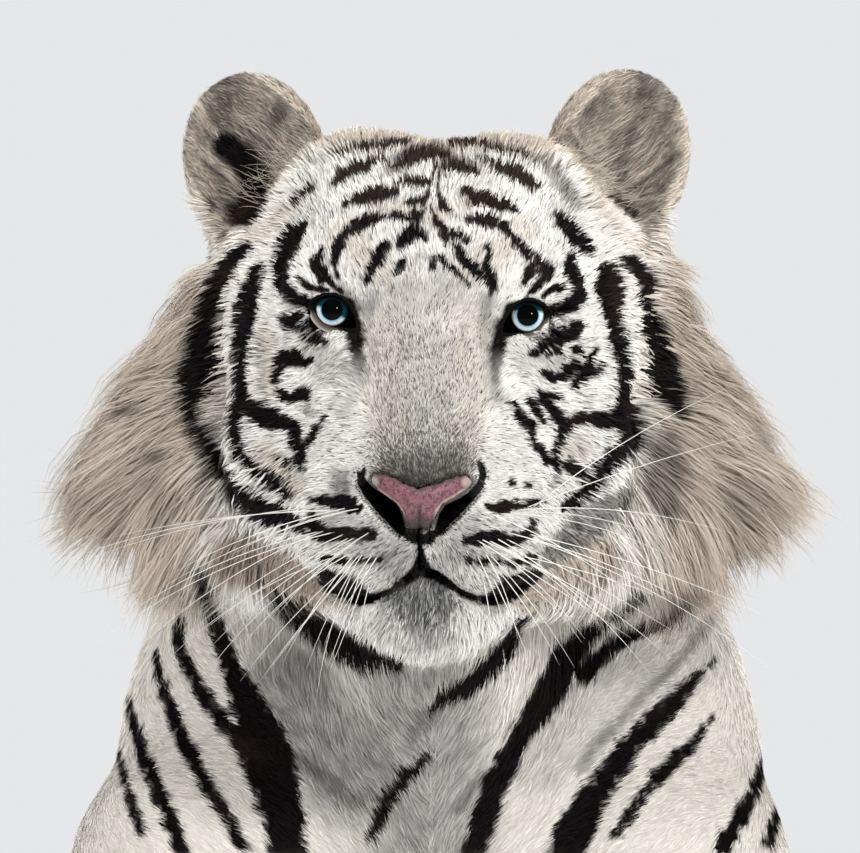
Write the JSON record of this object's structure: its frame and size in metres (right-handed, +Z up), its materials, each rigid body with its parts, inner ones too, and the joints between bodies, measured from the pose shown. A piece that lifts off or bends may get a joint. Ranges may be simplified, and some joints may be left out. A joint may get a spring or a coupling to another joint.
{
  "type": "white tiger",
  "caption": "Sitting white tiger, life size, upright on its forelegs with the head raised and the tail laid round on the floor.",
  "frame": {"origin": "on the floor, under the middle of the bounding box", "axes": "+Z up, the animal faces -Y, its own left side is +X"},
  "size_m": [0.7604, 1.4346, 1.1987],
  "materials": {
    "white_fur": "soft matt fur, cream white with near-black stripes",
    "nose_leather": "pink nose leather with dark speckle, slightly damp",
    "eye": "glossy pale blue iris with a round black pupil"
  },
  "bodies": {
    "root": {"head": "white_fur", "muzzle": "white_fur", "jaw": "white_fur", "nose": "nose_leather", "neck": "white_fur", "trunk": "white_fur", "ear_left": "white_fur", "eye_left": "eye", "shoulder_left": "white_fur", "foreleg_left": "white_fur", "forepaw_left": "white_fur", "thigh_left": "white_fur", "hock_left": "white_fur", "hindpaw_left": "white_fur", "ear_right": "white_fur", "eye_right": "eye", "shoulder_right": "white_fur", "foreleg_right": "white_fur", "forepaw_right": "white_fur", "thigh_right": "white_fur", "hock_right": "white_fur", "hindpaw_right": "white_fur", "tail_root": "white_fur", "tail_middle": "white_fur", "tail_tip": "white_fur"}
  },
  "joints": []
}
